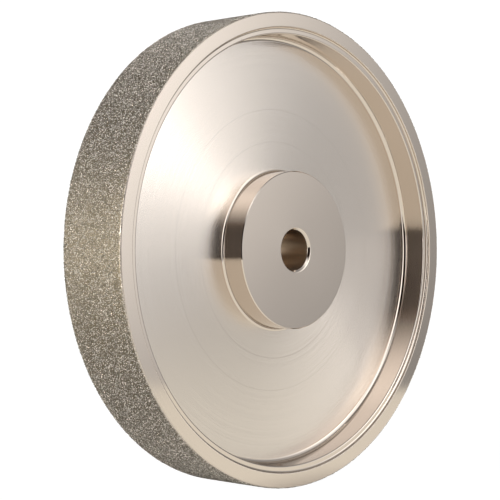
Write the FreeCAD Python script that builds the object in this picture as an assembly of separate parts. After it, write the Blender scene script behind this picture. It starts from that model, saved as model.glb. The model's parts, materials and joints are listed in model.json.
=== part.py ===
"""Flat diamond grinding wheel for a lapidary arbor, 150 mm across and 25 mm wide.

The wheel turns about the Y axis. The origin is the middle of the bore, half-way through the
width. -Y is the face that looks outwards on the machine and +Z is up. Lengths are millimetres.
Both faces have the same profile: a raised hub and rim with a round recess between them.
"""

import FreeCAD, Part
import math
import os

# Overall sizes
GRIT_DIA = 150.0            # over the tips of the diamond grains
RIM_WIDTH = 25.0            # along the spindle
GRIT_PROUD = 0.18           # how far the grains stand out of the bond
BOND_THICKNESS = 0.12       # electroplated nickel between the grains

# Rim
RIM_EDGE_BREAK = 0.25       # outer corners of the rim
RIM_FACE_INNER_R = 70.40    # where the flat rim face ends
FACE_EDGE_ROUND = 0.30      # between the rim face and the step
STEP_DEPTH = 1.00           # from the rim face down to the narrow ledge
STEP_FILLET = 0.65
RIM_WALL_R = 68.05          # inner wall of the rim, below the ledge
LEDGE_EDGE_ROUND = 0.45     # corner between the ledge and the rim's inner wall

# Web, the thin disc between the rim and the hub: slightly thicker at the hub
WEB_DEPTH_AT_HUB = 8.80     # below the rim face
WEB_DEPTH_AT_RIM = 9.45
HUB_ROOT_FILLET = 1.00      # where the web meets the hub
RIM_ROOT_FILLET = 1.60      # where the web meets the rim's inner wall

# Hub
HUB_DIA = 50.0
HUB_RECESS = 0.90           # the hub face lies this far below the rim face
HUB_EDGE_BREAK = 0.20
BORE_DIA = 12.7             # half-inch arbor
BORE_CHAMFER = 0.70

SHARP = 0.0
FULL_TURN = 360
SPIN_AXIS = FreeCAD.Vector(0, 1, 0)
WHEEL_CENTRE = FreeCAD.Vector(0, 0, 0)

HALF_WIDTH = RIM_WIDTH / 2
BOND_R = GRIT_DIA / 2 - GRIT_PROUD
BODY_R = BOND_R - BOND_THICKNESS


def half_profile():
    """Corners of one side's outline, from the bore to the rim, as (radius, height, rounding)."""
    hub_r = HUB_DIA / 2
    bore_r = BORE_DIA / 2
    hub_face = HALF_WIDTH - HUB_RECESS
    ledge = HALF_WIDTH - STEP_DEPTH
    step_r = RIM_FACE_INNER_R - FACE_EDGE_ROUND
    return [
        (bore_r, hub_face - BORE_CHAMFER, SHARP),
        (bore_r + BORE_CHAMFER, hub_face, SHARP),
        (hub_r - HUB_EDGE_BREAK, hub_face, SHARP),
        (hub_r, hub_face - HUB_EDGE_BREAK, SHARP),
        (hub_r, HALF_WIDTH - WEB_DEPTH_AT_HUB, HUB_ROOT_FILLET),
        (RIM_WALL_R, HALF_WIDTH - WEB_DEPTH_AT_RIM, RIM_ROOT_FILLET),
        (RIM_WALL_R, ledge, LEDGE_EDGE_ROUND),
        (step_r, ledge, STEP_FILLET),
        (step_r, HALF_WIDTH, FACE_EDGE_ROUND),
        (BODY_R - RIM_EDGE_BREAK, HALF_WIDTH, SHARP),
        (BODY_R, HALF_WIDTH - RIM_EDGE_BREAK, SHARP),
    ]


def corner_ends(before, corner, after, rounding):
    """Start, middle and end of the arc that rounds a corner between two straight runs."""
    to_before = (before - corner).normalize()
    to_after = (after - corner).normalize()
    half_angle = to_before.getAngle(to_after) / 2
    run_taken = rounding / math.tan(half_angle)
    to_arc = rounding / math.sin(half_angle) - rounding
    inwards = (to_before + to_after).normalize()
    return corner + to_before * run_taken, corner + inwards * to_arc, corner + to_after * run_taken


def outline(corners):
    """Closed wire through corners given as (radius, height, rounding)."""
    points = [FreeCAD.Vector(radius, height, 0) for radius, height, _ in corners]
    edges = []
    starts = []
    ends = []
    for i, (_, _, rounding) in enumerate(corners):
        if rounding == SHARP:
            starts.append(points[i])
            ends.append(points[i])
            continue
        after = points[(i + 1) % len(points)]
        start, middle, end = corner_ends(points[i - 1], points[i], after, rounding)
        starts.append(start)
        ends.append(end)
        edges.append(Part.Arc(start, middle, end).toShape())
    for i in range(len(points)):
        edges.append(Part.makeLine(ends[i - 1], starts[i]))
    return Part.Wire(Part.sortEdges(edges)[0])


def turned(corners):
    """Solid of revolution about the wheel's axis."""
    face = Part.Face(outline(corners))
    return face.revolve(WHEEL_CENTRE, SPIN_AXIS, FULL_TURN)


def wheel_body():
    """One turned piece: hub with the bore, web, and rim with its inner ledge."""
    near_side = half_profile()
    far_side = [(radius, -height, rounding) for radius, height, rounding in reversed(near_side)]
    return turned(near_side + far_side)


def rim_band(inner_r, outer_r):
    """Thin round layer on the outside of the rim, between its broken edges."""
    reach = HALF_WIDTH - RIM_EDGE_BREAK
    return turned([
        (inner_r, -reach, SHARP),
        (outer_r, -reach, SHARP),
        (outer_r, reach, SHARP),
        (inner_r, reach, SHARP),
    ])


def nickel_bond():
    """Electroplated nickel that holds the grains on the rim."""
    return rim_band(BODY_R, BOND_R)


def diamond_grit():
    """The space that the tips of the diamond grains fill, outside the bond."""
    return rim_band(BOND_R, GRIT_DIA / 2)


PARTS = {
    "wheel_body": wheel_body,
    "nickel_bond": nickel_bond,
    "diamond_grit": diamond_grit,
}


os.makedirs("parts", exist_ok=True)
for node, make in PARTS.items():
    shape = make()
    shape.exportStep(f"parts/{node}.step")
    print(node, shape.ShapeType, shape.isValid(), round(shape.Volume), "mm3")
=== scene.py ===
"""Looks of a flat diamond grinding wheel: a turned, nickel-plated body and a rim set with grit.

Lengths are in metres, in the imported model's frame: the wheel turns about Y, -Y is the face that
looks outwards on the machine and +Z is up.
"""

import json
import math

import bpy
import numpy as np
from bpy.props import FloatProperty, FloatVectorProperty, IntProperty, PointerProperty
from bpy.types import Operator, Panel, PropertyGroup
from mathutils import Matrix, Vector


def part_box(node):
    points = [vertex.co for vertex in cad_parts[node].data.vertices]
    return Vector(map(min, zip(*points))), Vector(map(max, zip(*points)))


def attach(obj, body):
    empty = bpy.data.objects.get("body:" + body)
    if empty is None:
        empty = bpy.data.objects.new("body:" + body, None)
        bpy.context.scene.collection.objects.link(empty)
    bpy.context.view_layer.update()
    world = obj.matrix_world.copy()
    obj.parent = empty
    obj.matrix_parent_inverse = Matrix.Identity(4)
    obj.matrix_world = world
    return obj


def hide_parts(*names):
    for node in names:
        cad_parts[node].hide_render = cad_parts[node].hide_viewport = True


bl_info = {
    "name": "Diamond grinding wheel",
    "version": (1, 0, 0),
    "blender": (4, 5, 0),
    "location": "3D View > Sidebar > Grinding wheel",
    "description": "Builds the looks of a flat diamond grinding wheel round its packed model",
    "category": "Object",
}

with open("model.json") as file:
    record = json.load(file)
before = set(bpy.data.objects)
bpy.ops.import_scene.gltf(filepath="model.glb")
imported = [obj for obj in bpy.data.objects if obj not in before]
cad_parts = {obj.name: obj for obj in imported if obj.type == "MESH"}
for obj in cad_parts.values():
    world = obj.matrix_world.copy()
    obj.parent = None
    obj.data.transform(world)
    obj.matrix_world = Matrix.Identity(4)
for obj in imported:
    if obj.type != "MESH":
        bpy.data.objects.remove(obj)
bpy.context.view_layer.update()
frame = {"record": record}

MM = 0.001
_, BODY_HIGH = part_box("wheel_body")
_, BOND_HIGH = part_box("nickel_bond")
_, GRIT_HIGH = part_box("diamond_grit")
MOUNTS = {mount["name"]: mount for mount in frame["record"]["mounts"]}

HALF_WIDTH = float(BODY_HIGH[1])
BODY_RADIUS = float(BODY_HIGH[2])
BOND_RADIUS = float(BOND_HIGH[2])
GRIT_RADIUS = float(GRIT_HIGH[2])
BAND_REACH = float(BOND_HIGH[1])
BORE_RADIUS = MOUNTS["arbor_bore"]["dims"]["r_mm"] * MM
HUB_FACE = abs(MOUNTS["hub_face_outer"]["pos_m"][1])
EDGE_BREAK = HALF_WIDTH - BAND_REACH

BORE_FINISH, FACE_FINISH, WALL_FINISH, WEB_FINISH, STEP_FINISH = range(5)
ARC_STEP = math.radians(9)

# Bond: a thin lumpy layer
BOND_WRAP = HALF_WIDTH - 0.03 * MM  # the plated layer reaches over the rim's broken edge
BOND_COLUMNS = 1080
BOND_ROWS = 56
BOND_LUMPS = 0.04 * MM
BOND_OVERLAP = 0.01 * MM            # how far it goes into the body, so that no gap shows

# Grains
GRAIN_TONES = 3
GRAIN_SHARES = (0.50, 0.20, 0.30)   # dark, middle and light grains
GRAIN_SQUASH = np.array((1.0, 1.0, 0.7))    # grains lie flat in the bond
GRAIN_SIZES = (0.78, 1.25)          # smallest and largest, against the mean
GRAIN_STRETCH = (0.8, 1.2)
CORNER_JITTER = 0.22
PLACE_JITTER = 0.42
ROW_SPACING = 0.87                  # of the pitch
EDGE_SHARE = 0.9                    # how much of the rim's broken edge they cover
GRAIN_SINK = 0.06 * MM
GRAIN_FLOOR = 0.1 * MM              # as far as a grain reaches into the bond
HEXAGON = 6
BLUNT_FOOT, BLUNT_TOP, BLUNT_TAPER = -0.25, 0.75, 0.55
BLOCK_FOOT, BLOCK_FOOT_WIDTH = -0.5, 0.8
BLOCK_TOP, BLOCK_TOP_LENGTH, BLOCK_TOP_WIDTH = 0.65, 0.55, 0.6

# Surface effects. Ranges are (low, high, value at low, value at high).
QUARTER_TURN = 0.25                 # lays the gloss across the turning marks
COARSE_RINGS = 0.06                 # coarse rings to one fine ring
RING_FADE_SCALE = 35.0
RING_FADE = (0.3, 0.7, 0.35, 1.0)
CLOUD_SCALE = 28.0
HAZE_RANGE = (0.35, 0.7, 0.0, 1.0)
UNEVEN_RANGE = (0.3, 0.7, -0.5, 0.5)
SPECK_SCALE = 900.0
SPECK_RANGE = (0.80, 0.84, 0.0, 0.3)
SPECK_COLOUR = (0.25, 0.21, 0.16, 1)
WARMTH = 0.86                       # hazy nickel against clean nickel
SCRIBED_RINGS = (34.6 * MM, 44.9 * MM)
SCRIBE_WIDTH = 0.10 * MM
SCRIBE_DARKNESS = 0.25
SCRIBE_COLOUR = (0.1, 0.08, 0.06, 1)
SKIN_ROUGHNESS = 0.05
SKIN_IOR = 2.15
SKIN_RINGS = 9000.0
SKIN_DEPTH = 0.012 * MM
CHATTER_TEETH = 980.0
CHATTER_DEPTH = 0.02 * MM
CHATTER_FOOT = 11.75 * MM
CHATTER_TOP = 12.05 * MM
BOND_HAZE = (0.2, 0.17, 0.12, 1)
BOND_GRAIN_SCALE = 6000.0
BOND_GRAIN_DEPTH = 0.05 * MM
CELLS_PER_METRE = 3000.0
CELL_SHARE = 0.75
PATCH_SCALE = 9000.0
PATCH_SHARE = 0.35
PATCH_DEPTH = 0.004 * MM
GRAIN_GLOSS = (0.0, 1.0, 0.20, 0.50)
DIAMOND_IOR = 2.4
GRAIN_SHEEN = (1.0, 0.92, 0.78, 1)

# Light
ROOM_LIGHT = 0.23
DARKEST_ROOM = 0.02
DIM_LIGHT = 0.3                     # below this the room's light turns warm
DIM_ROOM_TINT = (1.0, 0.62, 0.42, 1)
WHITE = (1, 1, 1, 1)
# Soft lamps as (azimuth, elevation, spread, spread upwards, strength). Azimuth 0 is along -Y and
# grows towards +X; angles are degrees.
SOFT_LAMPS = (
    (32.0, 13.8, 11.3, 12.5, 2.25),     # main soft box, on the right of the wheel's face
    (29.9, 10.6, 3.5, 3.5, 4.0),        # its bright middle
    (-3.0, 12.0, 7.0, 18.0, 2.5),       # narrow lamp in front of the wheel
    (133.0, 5.0, 35.0, 24.0, 0.3),      # pale backdrop behind the wheel
    (-106.0, -2.0, 15.0, 15.0, 16.0),   # fill on the rim's left side
    (-155.0, 40.0, 55.0, 45.0, -0.24),  # dark room behind the wheel's left side
    (-5.0, 46.0, 38.0, 11.0, 1.7),      # high lamp above the camera
    (-45.0, 6.0, 30.0, 28.0, -0.42),    # dim corner of the room behind the camera
)

# The table top: the way its right-hand edge faces, and how far its edges are from the wheel.
TABLE_TURN = math.radians(56.0)
TABLE_RIGHT = 0.329
TABLE_LEFT = 0.60
TABLE_FRONT = 0.43
TABLE_BACK = 0.60
TABLE_COLOUR = (0.86, 0.84, 0.80, 1)
TABLE_ROUGHNESS = 0.9
TABLE_TINT = (1.0, 0.97, 0.88, 1)
TABLE_SEEN = 0.9                    # share of glow where the camera sees the table
TABLE_GLOW = 0.86                   # share of glow where the wheel mirrors it
# Painted shadow of the wheel: the table's glow, as the wheel mirrors it, is dimmed near the wheel and behind
# its face.
TABLE_SHADE = (0.10, 0.20)          # the wheel darkens the table between these distances
SHADE_FRONT = -0.040                # its shade starts here and is full below the axis

SENSOR_WIDTH = 36.0
NEAR_CLIP = 0.01


# ---------------------------------------------------------------- settings


class WheelSizes(PropertyGroup):
    """Sizes of the turned profile that the model's mounts and boxes don't give."""

    hub_radius: FloatProperty(
        name="Hub radius",
        description="Outside radius of the raised hub",
        default=25.0 * MM,
        precision=5,
        unit="LENGTH",
    )
    bore_chamfer: FloatProperty(
        name="Bore chamfer",
        description="Width of the chamfer at each mouth of the bore",
        default=0.7 * MM,
        precision=5,
        unit="LENGTH",
    )
    bore_softness: FloatProperty(
        name="Bore softness",
        description="Rounding at both ends of the bore's chamfer",
        default=0.45 * MM,
        precision=5,
        unit="LENGTH",
    )
    hub_edge_break: FloatProperty(
        name="Hub edge break",
        description="Width of the broken edge round the hub face",
        default=0.25 * MM,
        precision=5,
        unit="LENGTH",
    )
    rim_face_inner_radius: FloatProperty(
        name="Rim face inner radius",
        description="Where the flat rim face ends",
        default=70.4 * MM,
        precision=5,
        unit="LENGTH",
    )
    face_edge_radius: FloatProperty(
        name="Face edge radius",
        description="Rounding between the rim face and the step",
        default=0.3 * MM,
        precision=5,
        unit="LENGTH",
    )
    step_depth: FloatProperty(
        name="Step depth",
        description="From the rim face down to the narrow ledge",
        default=1.0 * MM,
        precision=5,
        unit="LENGTH",
    )
    step_fillet: FloatProperty(
        name="Step fillet",
        description="Radius between the step and the ledge",
        default=0.65 * MM,
        precision=5,
        unit="LENGTH",
    )
    rim_wall_radius: FloatProperty(
        name="Rim wall radius",
        description="Radius of the rim's inner wall",
        default=68.05 * MM,
        precision=5,
        unit="LENGTH",
    )
    ledge_edge_radius: FloatProperty(
        name="Ledge edge radius",
        description="Rounding between the ledge and the rim's inner wall",
        default=0.45 * MM,
        precision=5,
        unit="LENGTH",
    )
    web_depth_at_hub: FloatProperty(
        name="Web depth at hub",
        description="From the rim face down to the web beside the hub",
        default=8.8 * MM,
        precision=5,
        unit="LENGTH",
    )
    web_depth_at_rim: FloatProperty(
        name="Web depth at rim",
        description="From the rim face down to the web beside the rim",
        default=9.45 * MM,
        precision=5,
        unit="LENGTH",
    )
    hub_root_fillet: FloatProperty(
        name="Hub root fillet",
        description="Radius where the web meets the hub",
        default=1.0 * MM,
        precision=5,
        unit="LENGTH",
    )
    rim_root_fillet: FloatProperty(
        name="Rim root fillet",
        description="Radius where the web meets the rim",
        default=1.6 * MM,
        precision=5,
        unit="LENGTH",
    )
    burr_radius: FloatProperty(
        name="Corner softness",
        description="Radius that plating gives to every turned corner",
        default=0.02 * MM,
        precision=6,
        unit="LENGTH",
    )
    turns: IntProperty(
        name="Facets per turn",
        description="Number of straight facets round the wheel",
        default=540,
        min=90,
    )


class GritSettings(PropertyGroup):
    """How the diamond grains are sized and spread."""

    pitch: FloatProperty(
        name="Grain pitch",
        description="Mean distance between neighbouring grains",
        default=0.35 * MM,
        precision=6,
        unit="LENGTH",
    )
    grain_radius: FloatProperty(
        name="Grain radius",
        description="Mean radius of a grain",
        default=0.17 * MM,
        precision=6,
        unit="LENGTH",
    )
    sectors: IntProperty(
        name="Sectors",
        description="Number of pieces that the grains are grouped in round the rim",
        default=12,
        min=1,
    )
    seed: IntProperty(
        name="Seed",
        description="Start of the random spread of the grains",
        default=11,
    )
    dark_colour: FloatVectorProperty(
        name="Dark grains",
        description="Colour of the darkest grains",
        default=(0.020, 0.015, 0.006),
        subtype="COLOR",
    )
    light_colour: FloatVectorProperty(
        name="Light grains",
        description="Colour of the lightest grains",
        default=(0.90, 0.84, 0.77),
        subtype="COLOR",
    )


class FinishSettings(PropertyGroup):
    """Colours and roughness of the nickel plating."""

    nickel_colour: FloatVectorProperty(
        name="Nickel",
        description="Colour of the bright nickel plating",
        default=(0.66, 0.583, 0.513),
        subtype="COLOR",
    )
    bore_colour: FloatVectorProperty(
        name="Bore",
        description="Colour of the bare, stained metal in the bore",
        default=(0.50, 0.385, 0.28),
        subtype="COLOR",
    )
    bond_colour: FloatVectorProperty(
        name="Bond",
        description="Colour of the dull nickel between the grains",
        default=(0.18, 0.145, 0.09),
        subtype="COLOR",
    )
    web_roughness: FloatProperty(
        name="Web roughness",
        description="Roughness of the satin web",
        default=0.23,
        min=0.0,
        max=1.0,
        subtype="FACTOR",
    )
    face_roughness: FloatProperty(
        name="Face roughness",
        description="Roughness of the rim and hub faces",
        default=0.10,
        min=0.0,
        max=1.0,
        subtype="FACTOR",
    )
    wall_roughness: FloatProperty(
        name="Wall roughness",
        description="Roughness of the hub's wall, the rim's wall and the fillets",
        default=0.07,
        min=0.0,
        max=1.0,
        subtype="FACTOR",
    )


class StageSettings(PropertyGroup):
    """Where the camera stands and how strong the soft light is."""

    camera_azimuth: FloatProperty(
        name="Camera azimuth",
        description="Angle of the camera to the left of the wheel's axis",
        default=math.radians(46.83),
        subtype="ANGLE",
    )
    camera_distance: FloatProperty(
        name="Camera distance",
        description="From the camera to the plane of the rim face's centre",
        default=450.03 * MM,
        unit="LENGTH",
    )
    camera_offset: FloatProperty(
        name="Camera offset",
        description="How far the rim face's centre stands to the right of the camera's line of sight",
        default=15.2 * MM,
        precision=5,
        unit="LENGTH",
    )
    focal_length: FloatProperty(
        name="Focal length",
        description="Lens length in millimetres on a 36 mm sensor",
        default=102.5,
    )
    backdrop_brightness: FloatProperty(
        name="Backdrop brightness",
        description="Strength of the pale backdrop",
        default=1.1,
    )


SETTINGS = {
    "wheel_sizes": WheelSizes,
    "wheel_grit": GritSettings,
    "wheel_finish": FinishSettings,
    "wheel_stage": StageSettings,
}


# ---------------------------------------------------------------- turned geometry


def side_corners(sizes):
    """Corners of one side, bore to rim: (radius, height, rounding, finish of the run that follows)."""
    soft = sizes.burr_radius
    ledge = HALF_WIDTH - sizes.step_depth
    step_radius = sizes.rim_face_inner_radius - sizes.face_edge_radius
    wall_radius = sizes.rim_wall_radius
    hub_web = HALF_WIDTH - sizes.web_depth_at_hub
    rim_web = HALF_WIDTH - sizes.web_depth_at_rim
    return [
        (BORE_RADIUS, HUB_FACE - sizes.bore_chamfer, sizes.bore_softness, WALL_FINISH),
        (BORE_RADIUS + sizes.bore_chamfer, HUB_FACE, sizes.bore_softness, FACE_FINISH),
        (sizes.hub_radius - sizes.hub_edge_break, HUB_FACE, soft, WALL_FINISH),
        (sizes.hub_radius, HUB_FACE - sizes.hub_edge_break, soft, WALL_FINISH),
        (sizes.hub_radius, hub_web, sizes.hub_root_fillet, WEB_FINISH),
        (wall_radius, rim_web, sizes.rim_root_fillet, WALL_FINISH),
        (wall_radius, ledge, sizes.ledge_edge_radius, WALL_FINISH),
        (step_radius, ledge, sizes.step_fillet, STEP_FINISH),
        (step_radius, HALF_WIDTH, sizes.face_edge_radius, FACE_FINISH),
        (BODY_RADIUS - EDGE_BREAK, HALF_WIDTH, soft, WALL_FINISH),
        (BODY_RADIUS, HALF_WIDTH - EDGE_BREAK, soft, WALL_FINISH),
    ]


def far_corners(near):
    """The same corners mirrored to the other side and walked from the rim back to the bore."""
    mirrored = [(radius, -height, rounding) for radius, height, rounding, _ in reversed(near)]
    finishes = [finish for *_, finish in reversed(near[:-1])] + [BORE_FINISH]
    return [corner + (finish,) for corner, finish in zip(mirrored, finishes)]


def unit(vector):
    return vector / np.linalg.norm(vector)


def left_of(direction):
    """The direction turned a quarter turn towards the outside of the outline."""
    return np.array([-direction[1], direction[0]])


def rounded_outline(corners, arc_step):
    """Segments of the closed outline as (start, end, start normal, end normal, finish)."""
    points = [np.array(corner[:2]) for corner in corners]
    count = len(points)
    starts, ends, segments = [], [], []
    for i, (_, _, rounding, _) in enumerate(corners):
        incoming = unit(points[i] - points[i - 1])
        outgoing = unit(points[(i + 1) % count] - points[i])
        turn = math.atan2(np.cross(incoming, outgoing), incoming @ outgoing)
        taken = rounding * math.tan(abs(turn) / 2)
        starts.append(points[i] - incoming * taken)
        ends.append(points[i] + outgoing * taken)
        centre = starts[i] - left_of(incoming) * math.copysign(rounding, -turn)
        steps = max(2, round(abs(turn) / arc_step))
        finish = STEP_FINISH if STEP_FINISH in (corners[i][3], corners[i - 1][3]) else WALL_FINISH
        spoke = starts[i] - centre
        for k in range(steps):
            a, b = turn * k / steps, turn * (k + 1) / steps
            segments.append((i, centre + rotated(spoke, a), centre + rotated(spoke, b),
                             rotated(left_of(incoming), a), rotated(left_of(incoming), b), finish))
        segments.append((i, None, None, left_of(outgoing), left_of(outgoing), corners[i][3]))
    closed = []
    for i, a, b, normal_a, normal_b, finish in segments:
        if a is None:
            a, b = ends[i], starts[(i + 1) % count]
        closed.append((a, b, normal_a, normal_b, finish))
    return closed


def rotated(vector, angle):
    c, s = math.cos(angle), math.sin(angle)
    return np.array([c * vector[0] - s * vector[1], s * vector[0] + c * vector[1]])


def lathe(name, segments, turns):
    """A closed mesh turned about Y, with exact normals and one material index per finish."""
    angles = np.arange(turns) * (2 * math.pi / turns)
    circle = np.stack([np.cos(angles), np.sin(angles)], 1)
    profile = np.array([start for start, *_ in segments])
    rows = len(profile)
    radii = np.repeat(profile[:, 0], turns)
    spin = np.tile(circle, (rows, 1))
    vertices = np.stack([radii * spin[:, 0], np.repeat(profile[:, 1], turns), radii * spin[:, 1]], 1)

    row, step = np.meshgrid(np.arange(rows), np.arange(turns), indexing="ij")
    next_row, next_step = (row + 1) % rows, (step + 1) % turns
    quads = np.stack([row * turns + step, row * turns + next_step,
                      next_row * turns + next_step, next_row * turns + step], -1).reshape(-1, 4)

    first = np.array([normal for _, _, normal, _, _ in segments])
    last = np.array([normal for _, _, _, normal, _ in segments])
    normals = np.empty((rows, turns, 4, 3))
    ends = [(first, step), (first, next_step), (last, next_step), (last, step)]
    for corner, (flat, turn) in enumerate(ends):
        around = circle[turn]
        normals[:, :, corner, 0] = flat[:, None, 0] * around[..., 0]
        normals[:, :, corner, 1] = flat[:, None, 1]
        normals[:, :, corner, 2] = flat[:, None, 0] * around[..., 1]

    mesh = mesh_of(name, vertices, quads)
    mesh.polygons.foreach_set("use_smooth", np.ones(len(quads), bool))
    finishes = np.repeat([finish for *_, finish in segments], turns)
    mesh.polygons.foreach_set("material_index", finishes.astype(np.int32))
    mesh.normals_split_custom_set(normals.reshape(-1, 3).tolist())
    return mesh


def mesh_of(name, vertices, faces):
    """A mesh from an array of points and an array of faces that all have the same corner count."""
    mesh = bpy.data.meshes.new(name)
    corners = faces.shape[1]
    mesh.vertices.add(len(vertices))
    mesh.vertices.foreach_set("co", np.ascontiguousarray(vertices, np.float32).ravel())
    mesh.loops.add(faces.size)
    mesh.loops.foreach_set("vertex_index", np.ascontiguousarray(faces, np.int32).ravel())
    mesh.polygons.add(len(faces))
    mesh.polygons.foreach_set("loop_start", np.arange(0, faces.size, corners, dtype=np.int32))
    mesh.update(calc_edges=True)
    mesh.validate()
    return mesh


def add_piece(mesh, materials, record_slot, *replaced):
    """Shows a mesh as a piece on the wheel's only body, in place of the CAD nodes named."""
    piece = bpy.data.objects.new(mesh.name, mesh)
    bpy.context.scene.collection.objects.link(piece)
    for material in materials:
        mesh.materials.append(material)
    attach(piece, "root")
    if replaced:
        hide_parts(*replaced)
    return piece


# ---------------------------------------------------------------- grains and bond


def past_edge(across):
    """How far places lie past the flat band, on the rim's broken edge."""
    return np.maximum(0, np.abs(across) - BAND_REACH)


def grain_shapes():
    """Unit crystals as (points, triangles): octahedron, blunt octahedron and squat prism."""
    octahedron = np.array([(1, 0, 0), (-1, 0, 0), (0, 1, 0), (0, -1, 0), (0, 0, 1), (0, 0, -1)], float)
    octahedron_faces = np.array([(0, 2, 4), (2, 1, 4), (1, 3, 4), (3, 0, 4),
                                 (2, 0, 5), (1, 2, 5), (3, 1, 5), (0, 3, 5)])
    ring = [(math.cos(a), math.sin(a)) for a in np.arange(HEXAGON) * 2 * math.pi / HEXAGON]
    blunt = np.array([(x, y, BLUNT_FOOT) for x, y in ring] +
                     [(BLUNT_TAPER * x, BLUNT_TAPER * y, BLUNT_TOP) for x, y in ring[::2]])
    blunt_faces = np.array([(0, 1, 6), (1, 2, 7), (1, 7, 6), (2, 3, 7), (3, 4, 8), (3, 8, 7),
                            (4, 5, 8), (5, 0, 6), (5, 6, 8), (6, 7, 8),
                            (0, 5, 4), (0, 4, 3), (0, 3, 2), (0, 2, 1)])
    corners = [(-1, -1), (1, -1), (1, 1), (-1, 1)]
    block = np.array([(BLOCK_FOOT_WIDTH * x, BLOCK_FOOT_WIDTH * y, BLOCK_FOOT) for x, y in corners] +
                     [(BLOCK_TOP_LENGTH * x, BLOCK_TOP_WIDTH * y, BLOCK_TOP) for x, y in corners])
    block_faces = np.array([(0, 1, 5), (0, 5, 4), (1, 2, 6), (1, 6, 5), (2, 3, 7), (2, 7, 6),
                            (3, 0, 4), (3, 4, 7), (4, 5, 6), (4, 6, 7),
                            (0, 3, 2), (0, 2, 1)])
    shapes = [(octahedron, octahedron_faces), (blunt, blunt_faces), (block, block_faces)]
    return [(points, facing_out(points, faces)) for points, faces in shapes]


def facing_out(points, faces):
    """The triangles of a convex shape, each wound so that it faces away from the centre."""
    a, b, c = (points[faces[:, k]] for k in range(3))
    inwards = np.einsum("ij,ij->i", np.cross(b - a, c - a), (a + b + c) / 3 - points.mean(0)) < 0
    return np.where(inwards[:, None], faces[:, ::-1], faces)


def random_rotations(rng, count):
    """Uniformly spread rotation matrices."""
    q = rng.normal(size=(count, 4))
    w, x, y, z = (q / np.linalg.norm(q, axis=1, keepdims=True)).T
    return np.stack([
        1 - 2 * (y * y + z * z), 2 * (x * y - w * z), 2 * (x * z + w * y),
        2 * (x * y + w * z), 1 - 2 * (x * x + z * z), 2 * (y * z - w * x),
        2 * (x * z - w * y), 2 * (y * z + w * x), 1 - 2 * (x * x + y * y),
    ], -1).reshape(-1, 3, 3)


def scattered_places(rng, grit, start, end):
    """Jittered places on the band between two angles: (angle, height), a grain pitch apart."""
    reach = BAND_REACH + EDGE_SHARE * EDGE_BREAK
    rows = int(2 * reach / (grit.pitch * ROW_SPACING))
    columns = int((end - start) * BOND_RADIUS / grit.pitch)
    row, column = np.meshgrid(np.arange(rows), np.arange(columns), indexing="ij")
    along = rng.uniform(-PLACE_JITTER, PLACE_JITTER, row.shape)
    angle = (column + (row % 2) / 2 + along) / columns
    height = (row + 0.5 + rng.uniform(-PLACE_JITTER, PLACE_JITTER, row.shape)) / rows
    return start + angle.ravel() * (end - start), (2 * height.ravel() - 1) * reach


def grain_meshes(grit, sector):
    """One sector of the single layer of grains: vertices, triangles and a tone index per triangle."""
    rng = np.random.default_rng(grit.seed + sector)
    width = 2 * math.pi / grit.sectors
    angles, heights = scattered_places(rng, grit, sector * width, (sector + 1) * width)
    shapes = grain_shapes()
    kinds = rng.integers(0, len(shapes), len(angles))
    sizes = grit.grain_radius * rng.uniform(*GRAIN_SIZES, len(angles))
    tones = rng.choice(GRAIN_TONES, len(angles), p=GRAIN_SHARES)
    vertices, triangles, tone_of_face, offset = [], [], [], 0
    for kind, (points, faces) in enumerate(shapes):
        chosen = kinds == kind
        count = int(chosen.sum())
        jitter = points + rng.uniform(-CORNER_JITTER, CORNER_JITTER, (count, *points.shape))
        stretch = rng.uniform(*GRAIN_STRETCH, (count, 1, 3))
        local = np.einsum("nij,nkj->nki", random_rotations(rng, count), jitter * stretch)
        local *= sizes[chosen][:, None, None] * GRAIN_SQUASH
        sunk = rng.uniform(0.0, GRAIN_SINK, (count, 1))
        edge = past_edge(heights[chosen])[:, None]
        radius = BOND_RADIUS - sunk - edge + local[..., 2]
        radius = np.clip(radius, BOND_RADIUS - GRAIN_FLOOR - edge, GRIT_RADIUS)
        turn = angles[chosen][:, None] + local[..., 0] / BOND_RADIUS
        height = np.clip(heights[chosen][:, None] + local[..., 1], -HALF_WIDTH, HALF_WIDTH)
        placed = np.stack([radius * np.cos(turn), height, radius * np.sin(turn)], -1)
        vertices.append(placed.reshape(-1, 3))
        base = offset + np.arange(count)[:, None, None] * len(points)
        # (along the rim, across it, outwards) is a left-handed frame, so the triangles turn over
        triangles.append((faces[None, :, ::-1] + base).reshape(-1, 3))
        tone_of_face.append(np.repeat(tones[chosen], len(faces)))
        offset += count * len(points)
    return np.concatenate(vertices), np.concatenate(triangles), np.concatenate(tone_of_face)


def bond_mesh(seed):
    """A thin closed layer round the rim, lumpy on the outside."""
    rng = np.random.default_rng(seed)
    angle, across = np.meshgrid(np.arange(BOND_COLUMNS) * 2 * math.pi / BOND_COLUMNS,
                                np.linspace(-1, 1, BOND_ROWS) * BOND_WRAP, indexing="ij")
    lumps = BOND_RADIUS - past_edge(across) - rng.uniform(0, BOND_LUMPS, angle.shape)
    outer = np.stack([lumps * np.cos(angle), across, lumps * np.sin(angle)], -1)
    back = (BOND_WRAP, BAND_REACH, -BAND_REACH, -BOND_WRAP)
    angle, back = np.meshgrid(angle[:, 0], back, indexing="ij")
    low = BODY_RADIUS - BOND_OVERLAP - past_edge(back)
    inner = np.stack([low * np.cos(angle), back, low * np.sin(angle)], -1)
    grid = np.concatenate([outer, inner], 1)
    total = grid.shape[1]
    column, row = np.meshgrid(np.arange(BOND_COLUMNS), np.arange(total), indexing="ij")
    after, up = (column + 1) % BOND_COLUMNS, (row + 1) % total
    quads = np.stack([column * total + row, column * total + up, after * total + up,
                      after * total + row], -1).reshape(-1, 4)
    return mesh_of("bond_layer", grid.reshape(-1, 3), quads)


# ---------------------------------------------------------------- node helpers


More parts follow.
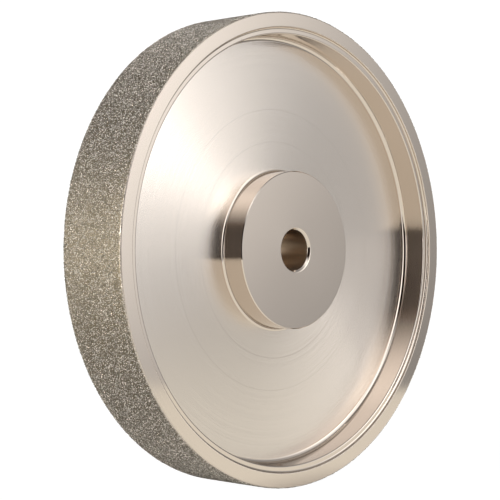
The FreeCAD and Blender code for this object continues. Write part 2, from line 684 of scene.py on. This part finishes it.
def new_group(name, inputs, outputs):
    """An empty shader group with its sockets, and its input and output nodes."""
    group = bpy.data.node_groups.new(name, "ShaderNodeTree")
    for label, kind, value in inputs:
        socket = group.interface.new_socket(name=label, in_out="INPUT", socket_type=kind)
        socket.default_value = value
    for label, kind in outputs:
        group.interface.new_socket(name=label, in_out="OUTPUT", socket_type=kind)
    return group, group.nodes.new("NodeGroupInput"), group.nodes.new("NodeGroupOutput")


def math_node(tree, operation, *values, clamp=False):
    """A Math node fed with sockets or numbers, and its output."""
    node = tree.nodes.new("ShaderNodeMath")
    node.operation = operation
    node.use_clamp = clamp
    feed(tree, node, *values)
    return node.outputs[0]


def feed(tree, node, *values):
    """Links or sets a node's inputs in order. None leaves an input alone."""
    for socket, value in zip(node.inputs, values):
        plug(tree, socket, value)


def plug(tree, socket, value):
    """Links a socket, or sets it to a plain value. None leaves it alone."""
    if isinstance(value, bpy.types.NodeSocket):
        tree.links.new(value, socket)
    elif value is not None:
        socket.default_value = value


def noise(tree, place, scale=1.0, detail=0.0, dimensions="3D"):
    """A noise texture's value."""
    node = tree.nodes.new("ShaderNodeTexNoise")
    node.noise_dimensions = dimensions
    plug(tree, node.inputs["W" if dimensions == "1D" else "Vector"], place)
    plug(tree, node.inputs["Scale"], scale)
    plug(tree, node.inputs["Detail"], detail)
    return node.outputs[0]


def mix_colour(tree, factor, first, second):
    """A colour mix's result."""
    node = tree.nodes.new("ShaderNodeMix")
    node.data_type = "RGBA"
    for socket, value in zip((node.inputs[0], node.inputs[6], node.inputs[7]), (factor, first, second)):
        plug(tree, socket, value)
    return node.outputs[2]


def ranged(tree, value, low, high, to_low, to_high, smooth=False):
    """A value mapped from one range to another, clamped."""
    node = tree.nodes.new("ShaderNodeMapRange")
    node.interpolation_type = "SMOOTHSTEP" if smooth else "LINEAR"
    feed(tree, node, value, low, high, to_low, to_high)
    return node.outputs[0]


def object_place(tree):
    """The place on the surface, in the wheel's frame, and its X, Y and Z."""
    coordinates = tree.nodes.new("ShaderNodeTexCoord")
    split = tree.nodes.new("ShaderNodeSeparateXYZ")
    tree.links.new(coordinates.outputs["Object"], split.inputs[0])
    return coordinates.outputs["Object"], split.outputs[0], split.outputs[1], split.outputs[2]


def distance_from_axis(tree):
    """How far the place on the surface is from the wheel's axis."""
    _, x, _, z = object_place(tree)
    return math_node(tree, "SQRT", math_node(tree, "ADD", math_node(tree, "MULTIPLY", x, x),
                                             math_node(tree, "MULTIPLY", z, z)))


def colour(rgb):
    return (rgb[0], rgb[1], rgb[2], 1.0)


# ---------------------------------------------------------------- shared effects


def turning_marks_group():
    """Fine rings that a lathe tool leaves, uneven in depth and fading in and out round the wheel."""
    tree, given, put = new_group(
        "turning_marks",
        [("Rings per metre", "NodeSocketFloat", 9000.0), ("Coarse share", "NodeSocketFloat", 0.4)],
        [("Height", "NodeSocketFloat"), ("Streaks", "NodeSocketFloat")],
    )
    place, *_ = object_place(tree)
    rings = math_node(tree, "MULTIPLY", distance_from_axis(tree), given.outputs["Rings per metre"])
    fine = noise(tree, rings, detail=1.0, dimensions="1D")
    coarse = noise(tree, rings, COARSE_RINGS, detail=2.0, dimensions="1D")
    patchy = ranged(tree, noise(tree, place, RING_FADE_SCALE, detail=2.0), *RING_FADE)
    share = math_node(tree, "MULTIPLY", coarse, given.outputs["Coarse share"])
    total = math_node(tree, "ADD", math_node(tree, "MULTIPLY", fine, patchy), share)
    tree.links.new(total, put.inputs["Height"])
    tree.links.new(coarse, put.inputs["Streaks"])
    return tree


def plating_group():
    """Nickel plating's slight uneven tone: warm haze, faint rub marks and pin-head specks."""
    tree, given, put = new_group(
        "plating_tone",
        [("Nickel", "NodeSocketColor", (0.66, 0.61, 0.53, 1)),
         ("Warm nickel", "NodeSocketColor", (0.6, 0.5, 0.38, 1)),
         ("Haze", "NodeSocketFloat", 0.15), ("Base roughness", "NodeSocketFloat", 0.1),
         ("Roughness spread", "NodeSocketFloat", 0.03), ("Streaks", "NodeSocketFloat", 0.5)],
        [("Colour", "NodeSocketColor"), ("Roughness", "NodeSocketFloat")],
    )
    place, *_ = object_place(tree)
    cloud = noise(tree, place, CLOUD_SCALE, detail=3.0)
    haze = math_node(tree, "MULTIPLY", ranged(tree, cloud, *HAZE_RANGE), given.outputs["Haze"])
    tinted = mix_colour(tree, haze, given.outputs["Nickel"], given.outputs["Warm nickel"])
    speck = ranged(tree, noise(tree, place, SPECK_SCALE, detail=1.0), *SPECK_RANGE)
    uneven = math_node(tree, "ADD", ranged(tree, cloud, *UNEVEN_RANGE),
                       ranged(tree, given.outputs["Streaks"], *UNEVEN_RANGE))
    spread = math_node(tree, "MULTIPLY", uneven, given.outputs["Roughness spread"])
    roughness = math_node(tree, "ADD", given.outputs["Base roughness"], spread, clamp=True)
    tree.links.new(mix_colour(tree, speck, tinted, SPECK_COLOUR), put.inputs["Colour"])
    tree.links.new(roughness, put.inputs["Roughness"])
    return tree


def grain_tone_group():
    """Each grain's own shade, with dull and clear patches inside it."""
    tree, given, put = new_group(
        "grain_tone",
        [("Dark", "NodeSocketColor", (0.1, 0.1, 0.1, 1)), ("Light", "NodeSocketColor", (0.5, 0.5, 0.5, 1)),
         ("Cells per metre", "NodeSocketFloat", CELLS_PER_METRE)],
        [("Colour", "NodeSocketColor"), ("Roughness", "NodeSocketFloat"), ("Height", "NodeSocketFloat")],
    )
    place, *_ = object_place(tree)
    cells = tree.nodes.new("ShaderNodeTexVoronoi")
    tree.links.new(place, cells.inputs["Vector"])
    tree.links.new(given.outputs["Cells per metre"], cells.inputs["Scale"])
    split = tree.nodes.new("ShaderNodeSeparateColor")
    tree.links.new(cells.outputs["Color"], split.inputs[0])
    patches = noise(tree, place, PATCH_SCALE, detail=2.0)
    shade = math_node(tree, "ADD", math_node(tree, "MULTIPLY", split.outputs[0], CELL_SHARE),
                      math_node(tree, "MULTIPLY", patches, PATCH_SHARE), clamp=True)
    mixed = mix_colour(tree, shade, given.outputs["Dark"], given.outputs["Light"])
    tree.links.new(mixed, put.inputs["Colour"])
    tree.links.new(ranged(tree, split.outputs[1], *GRAIN_GLOSS), put.inputs["Roughness"])
    tree.links.new(patches, put.inputs["Height"])
    return tree


GROUP_MAKERS = {
    "turning_marks": turning_marks_group,
    "plating_tone": plating_group,
    "grain_tone": grain_tone_group,
}


def place_group(tree, name, **values):
    """A node that uses a shared group, built the first time it is wanted."""
    node = tree.nodes.new("ShaderNodeGroup")
    node.node_tree = bpy.data.node_groups.get(name) or GROUP_MAKERS[name]()
    for label, value in values.items():
        plug(tree, node.inputs[label.replace("_", " ")], value)
    return node


def new_material(name, roughness=None, metallic=None):
    """A material with its Principled BSDF."""
    material = bpy.data.materials.new(name)
    material.use_nodes = True
    shader = material.node_tree.nodes["Principled BSDF"]
    plug(material.node_tree, shader.inputs["Roughness"], roughness)
    plug(material.node_tree, shader.inputs["Metallic"], metallic)
    return material, material.node_tree, shader


def tone_shader(tree, shader, tone, shade=None):
    """Links a tone group's roughness and its colour, or another shade, to the shader."""
    plug(tree, shader.inputs["Base Color"], shade or tone.outputs["Colour"])
    plug(tree, shader.inputs["Roughness"], tone.outputs["Roughness"])


def bump(tree, shader, height, distance, socket="Normal"):
    """Feeds a height, in units of distance in metres, to the shader's normal."""
    node = tree.nodes.new("ShaderNodeBump")
    node.inputs["Distance"].default_value = distance
    tree.links.new(height, node.inputs["Height"])
    tree.links.new(node.outputs[0], shader.inputs[socket])


# ---------------------------------------------------------------- materials


def nickel(name, metal, roughness, *, spread, haze, rings, mark_depth, stretch):
    """Bright nickel plate over a turned surface. stretch is how far the turning marks smear gloss."""
    material, tree, shader = new_material(name, metallic=1.0)
    marks = place_group(tree, "turning_marks", Rings_per_metre=rings)
    warm = [WARMTH * part for part in metal]
    tone = place_group(tree, "plating_tone", Nickel=colour(metal), Warm_nickel=colour(warm), Haze=haze,
                       Base_roughness=roughness, Roughness_spread=spread, Streaks=marks.outputs["Streaks"])
    tone_shader(tree, shader, tone)
    shader.inputs["Anisotropic"].default_value = stretch
    shader.inputs["Anisotropic Rotation"].default_value = QUARTER_TURN
    around = tree.nodes.new("ShaderNodeTangent")
    around.direction_type = "RADIAL"
    around.axis = "Y"
    tree.links.new(around.outputs[0], shader.inputs["Tangent"])
    bump(tree, shader, marks.outputs["Height"], mark_depth)
    return material


def web_nickel(finish):
    """The web's satin: turning marks fan the light out from the hub, under a brighter skin."""
    material = nickel("nickel_web", finish.nickel_colour, finish.web_roughness, spread=0.02, haze=0.10,
                      rings=12000.0, mark_depth=0.0012 * MM, stretch=1.0)
    tree = material.node_tree
    shader = tree.nodes["Principled BSDF"]
    shader.inputs["Coat Weight"].default_value = 1.0
    shader.inputs["Coat Roughness"].default_value = SKIN_ROUGHNESS
    shader.inputs["Coat IOR"].default_value = SKIN_IOR
    radius = distance_from_axis(tree)
    skin = noise(tree, math_node(tree, "MULTIPLY", radius, SKIN_RINGS), dimensions="1D")
    bump(tree, shader, skin, SKIN_DEPTH, "Coat Normal")
    plain = shader.inputs["Base Color"].links[0].from_socket
    scribed = 0.0
    for ring in SCRIBED_RINGS:
        off = math_node(tree, "ABSOLUTE", math_node(tree, "SUBTRACT", radius, ring))
        scribed = math_node(tree, "ADD", scribed, ranged(tree, off, 0.0, SCRIBE_WIDTH, SCRIBE_DARKNESS, 0.0))
    tree.links.new(mix_colour(tree, scribed, plain, SCRIBE_COLOUR), shader.inputs["Base Color"])
    return material


def chattered_nickel(finish):
    """Nickel on the step's wall, where the tool chattered: short teeth all the way round."""
    material, tree, shader = new_material("nickel_step", metallic=1.0)
    _, x, y, z = object_place(tree)
    angle = math_node(tree, "ARCTAN2", z, x)
    waves = math_node(tree, "SINE", math_node(tree, "MULTIPLY", angle, CHATTER_TEETH))
    upper = ranged(tree, math_node(tree, "ABSOLUTE", y), CHATTER_FOOT, CHATTER_TOP, 0.0, 1.0, smooth=True)
    tone = place_group(tree, "plating_tone", Nickel=colour(finish.nickel_colour), Haze=0.3,
                       Base_roughness=finish.wall_roughness, Roughness_spread=0.04)
    tone_shader(tree, shader, tone)
    bump(tree, shader, math_node(tree, "MULTIPLY", waves, upper), CHATTER_DEPTH)
    return material


def bond_material(finish):
    """Dull nickel that has grown up round the grains, painted bright nickel on the rim's broken edges as a
    painted highlight where they catch the light.
    """
    material, tree, shader = new_material("dull_nickel_bond", metallic=1.0)
    tone = place_group(tree, "plating_tone", Nickel=colour(finish.bond_colour), Warm_nickel=BOND_HAZE,
                       Haze=0.6, Base_roughness=0.38, Roughness_spread=0.1)
    place, _, y, _ = object_place(tree)
    # painted highlight: across the rim's broken edge the bond's colour turns to bright nickel
    edge = ranged(tree, math_node(tree, "ABSOLUTE", y), BAND_REACH - EDGE_BREAK, BAND_REACH, 0.0, 1.0)
    tone_shader(tree, shader, tone,
                mix_colour(tree, edge, tone.outputs["Colour"], colour(finish.nickel_colour)))
    bump(tree, shader, noise(tree, place, BOND_GRAIN_SCALE, detail=2.0), BOND_GRAIN_DEPTH)
    return material


def grain_material(name, dark, light, metallic):
    """Diamond grains: hard glossy facets, each grain with a shade of its own."""
    material, tree, shader = new_material(name, metallic=metallic)
    tone = place_group(tree, "grain_tone", Dark=colour(dark), Light=colour(light))
    tone_shader(tree, shader, tone)
    shader.inputs["IOR"].default_value = DIAMOND_IOR
    shader.inputs["Specular Tint"].default_value = GRAIN_SHEEN
    bump(tree, shader, tone.outputs["Height"], PATCH_DEPTH)
    return material


def blend_of(first, second, share):
    return tuple(a + (b - a) * share for a, b in zip(first, second))


def body_materials(finish):
    """One material per finish, in the order of the finish numbers."""
    bright = finish.nickel_colour
    return [
        nickel("nickel_bore", finish.bore_colour, roughness=0.38, spread=0.06, haze=0.6, rings=5000.0,
               mark_depth=0.0015 * MM, stretch=0.6),
        nickel("nickel_faces", bright, finish.face_roughness, spread=0.02, haze=0.08, rings=14000.0,
               mark_depth=0.00006 * MM, stretch=0.7),
        nickel("nickel_walls", bright, finish.wall_roughness, spread=0.02, haze=0.15, rings=9000.0,
               mark_depth=0.0002 * MM, stretch=0.5),
        web_nickel(finish),
        chattered_nickel(finish),
    ]


def grain_materials(grit):
    """Dark, middle and light grains, in the order of the tone numbers."""
    dark, light = tuple(grit.dark_colour), tuple(grit.light_colour)
    return [
        grain_material("diamond_dark", dark, blend_of(dark, light, share=0.12), metallic=0.0),
        grain_material("diamond_middle", blend_of(dark, light, share=0.2), blend_of(dark, light, share=0.7),
                       metallic=0.5),
        grain_material("diamond_light", blend_of(dark, light, share=0.8), light, metallic=0.9),
    ]


# ---------------------------------------------------------------- operators


class WHEEL_OT_body(Operator):
    """Turn the nickel-plated body: hub, web and rim in one piece"""

    bl_idname = "wheel.body"
    bl_label = "Wheel body"

    def execute(self, context):
        sizes, finish = context.scene.wheel_sizes, context.scene.wheel_finish
        near = side_corners(sizes)
        outline = rounded_outline(near + far_corners(near), ARC_STEP)
        mesh = lathe("wheel_body_turned", outline, sizes.turns)
        add_piece(mesh, body_materials(finish), "nickel_plated_steel", "wheel_body")
        return {"FINISHED"}


class WHEEL_OT_bond(Operator):
    """Plate the rim with the lumpy nickel layer that holds the grains"""

    bl_idname = "wheel.bond"
    bl_label = "Nickel bond"

    def execute(self, context):
        mesh = bond_mesh(context.scene.wheel_grit.seed)
        add_piece(mesh, [bond_material(context.scene.wheel_finish)], "nickel_bond", "nickel_bond")
        return {"FINISHED"}


class WHEEL_OT_grit(Operator):
    """Set the single layer of diamond grains in the bond"""

    bl_idname = "wheel.grit"
    bl_label = "Diamond grit"

    def execute(self, context):
        grit = context.scene.wheel_grit
        materials = grain_materials(grit)
        for sector in range(grit.sectors):
            vertices, triangles, tones = grain_meshes(grit, sector)
            mesh = mesh_of(f"grit_sector_{sector + 1:02d}", vertices, triangles)
            mesh.polygons.foreach_set("material_index", tones.astype(np.int32))
            add_piece(mesh, materials, "diamond_grains", "diamond_grit")
        return {"FINISHED"}


class WHEEL_OT_stage(Operator):
    """Lay the pale floor, light the studio softly and place the camera"""

    bl_idname = "wheel.stage"
    bl_label = "Stage, light and camera"

    def execute(self, context):
        stage = context.scene.wheel_stage
        context.scene.view_settings.view_transform = "Standard"
        add_floor(stage)
        context.scene.world = studio_world(stage)
        context.scene.camera = add_camera(stage)
        return {"FINISHED"}


# ---------------------------------------------------------------- stage


def add_floor(stage):
    """A pale table top that the rim stands on, glowing, with a painted shadow of the wheel in the glow that
    the wheel mirrors.
    """
    across = np.array((math.sin(TABLE_TURN), -math.cos(TABLE_TURN), 0))
    along = np.array((-across[1], across[0], 0))
    corners = np.array([across * x + along * y for x, y in (
        (TABLE_RIGHT, -TABLE_FRONT), (TABLE_RIGHT, TABLE_BACK),
        (-TABLE_LEFT, TABLE_BACK), (-TABLE_LEFT, -TABLE_FRONT))])
    mesh = mesh_of("floor", corners + np.array([0, 0, -GRIT_RADIUS]), np.array([[0, 1, 2, 3]]))
    floor = bpy.data.objects.new("floor", mesh)
    bpy.context.scene.collection.objects.link(floor)
    material, tree, shader = new_material("pale_floor", roughness=TABLE_ROUGHNESS)
    shader.inputs["Base Color"].default_value = TABLE_COLOUR
    glow = tree.nodes.new("ShaderNodeEmission")
    glow.inputs["Strength"].default_value = stage.backdrop_brightness
    seen = tree.nodes.new("ShaderNodeLightPath")
    tint = mix_colour(tree, seen.outputs["Is Camera Ray"], TABLE_TINT, WHITE)
    tree.links.new(tint, glow.inputs["Color"])
    mixed = tree.nodes.new("ShaderNodeMixShader")
    # painted shadow of the wheel: the glow that the wheel mirrors is dimmed near it and behind its face
    place, _, y, _ = object_place(tree)
    reach = tree.nodes.new("ShaderNodeVectorMath")
    reach.operation = "LENGTH"
    tree.links.new(place, reach.inputs[0])
    near = ranged(tree, reach.outputs["Value"], *TABLE_SHADE, 1.0, 0.0, smooth=True)
    behind = ranged(tree, y, SHADE_FRONT, 0.0, 0.0, 1.0, smooth=True)
    lit = math_node(tree, "SUBTRACT", 1.0, math_node(tree, "MULTIPLY", near, behind))
    mirrored = math_node(tree, "MULTIPLY", seen.outputs["Is Glossy Ray"], TABLE_GLOW)
    share = math_node(tree, "ADD", math_node(tree, "MULTIPLY", seen.outputs["Is Camera Ray"], TABLE_SEEN),
                      math_node(tree, "MULTIPLY", mirrored, lit))
    feed(tree, mixed, share, shader.outputs[0], glow.outputs[0])
    tree.links.new(mixed.outputs[0], tree.nodes["Material Output"].inputs[0])
    mesh.materials.append(material)


def soft_lamp(tree, azimuth, elevation, lamp):
    """How bright a soft lamp looks from a direction: full at its centre, fading all round."""
    lamp_azimuth, lamp_elevation, spread, spread_up, strength = lamp
    around = math_node(tree, "SUBTRACT", azimuth, lamp_azimuth)
    around = math_node(tree, "WRAP", around, 180.0, -180.0)
    around = math_node(tree, "DIVIDE", around, spread)
    up = math_node(tree, "DIVIDE", math_node(tree, "SUBTRACT", elevation, lamp_elevation), spread_up)
    square = math_node(tree, "ADD", math_node(tree, "MULTIPLY", around, around),
                       math_node(tree, "MULTIPLY", up, up))
    fade = math_node(tree, "EXPONENT", math_node(tree, "DIVIDE", square, -2.0))
    return math_node(tree, "MULTIPLY", fade, strength)


def studio_world(stage):
    """Soft studio surroundings: broad lamps and a dim camera side, with a white backdrop in view."""
    world = bpy.data.worlds.new("studio")
    world.use_nodes = True
    tree = world.node_tree
    background = tree.nodes["Background"]
    coordinates = tree.nodes.new("ShaderNodeTexCoord")
    split = tree.nodes.new("ShaderNodeSeparateXYZ")
    tree.links.new(coordinates.outputs["Generated"], split.inputs[0])
    x, y, z = split.outputs
    turn = math_node(tree, "ARCTAN2", x, math_node(tree, "MULTIPLY", y, -1.0))
    azimuth = math_node(tree, "MULTIPLY", turn, math.degrees(1))
    elevation = math_node(tree, "MULTIPLY", math_node(tree, "ARCSINE", z), math.degrees(1))
    light = ROOM_LIGHT
    for lamp in SOFT_LAMPS:
        light = math_node(tree, "ADD", light, soft_lamp(tree, azimuth, elevation, lamp))
    light = math_node(tree, "MAXIMUM", light, DARKEST_ROOM)
    seen = tree.nodes.new("ShaderNodeLightPath")
    shown = tree.nodes.new("ShaderNodeMix")
    feed(tree, shown, seen.outputs["Is Camera Ray"], None, light, stage.backdrop_brightness)
    tree.links.new(shown.outputs[0], background.inputs["Strength"])
    lit = ranged(tree, shown.outputs[0], 0.0, DIM_LIGHT, 0.0, 1.0)
    tree.links.new(mix_colour(tree, lit, DIM_ROOM_TINT, WHITE), background.inputs["Color"])
    return world


def add_camera(stage):
    """The camera, level with the wheel's axis and turned to the left of it."""
    sine, cosine = math.sin(stage.camera_azimuth), math.cos(stage.camera_azimuth)
    forward = Vector((sine, cosine, 0))
    right = Vector((cosine, -sine, 0))
    face_centre = Vector((0, -HALF_WIDTH, 0))
    camera = bpy.data.objects.new("camera", bpy.data.cameras.new("camera"))
    camera.location = face_centre - forward * stage.camera_distance - right * stage.camera_offset
    camera.rotation_euler = forward.to_track_quat("-Z", "Y").to_euler()
    camera.data.lens = stage.focal_length
    camera.data.sensor_width = SENSOR_WIDTH
    camera.data.clip_start = NEAR_CLIP
    bpy.context.scene.collection.objects.link(camera)
    return camera


# ---------------------------------------------------------------- panel and start


class WHEEL_PT_panel(Panel):
    """The wheel's pieces, in the order they are made"""

    bl_idname = "WHEEL_PT_panel"
    bl_label = "Grinding wheel"
    bl_space_type = "VIEW_3D"
    bl_region_type = "UI"
    bl_category = "Grinding wheel"

    def draw(self, context):
        for operator in OPERATORS:
            self.layout.operator(operator.bl_idname)
        for name, settings in SETTINGS.items():
            column = self.layout.column()
            for label in settings.__annotations__:
                column.prop(getattr(context.scene, name), label)


OPERATORS = (WHEEL_OT_body, WHEEL_OT_bond, WHEEL_OT_grit, WHEEL_OT_stage)


def register():
    for settings in SETTINGS.values():
        bpy.utils.register_class(settings)
    for name, settings in SETTINGS.items():
        setattr(bpy.types.Scene, name, PointerProperty(type=settings))
    for operator in OPERATORS:
        bpy.utils.register_class(operator)
    bpy.utils.register_class(WHEEL_PT_panel)


def unregister():
    bpy.utils.unregister_class(WHEEL_PT_panel)
    for operator in reversed(OPERATORS):
        bpy.utils.unregister_class(operator)
    for name, settings in reversed(SETTINGS.items()):
        delattr(bpy.types.Scene, name)
        bpy.utils.unregister_class(settings)


def main():
    """Makes every piece in order."""
    register()
    bpy.ops.wheel.body()
    bpy.ops.wheel.bond()
    bpy.ops.wheel.grit()
    bpy.ops.wheel.stage()


if __name__ == "__main__":
    main()
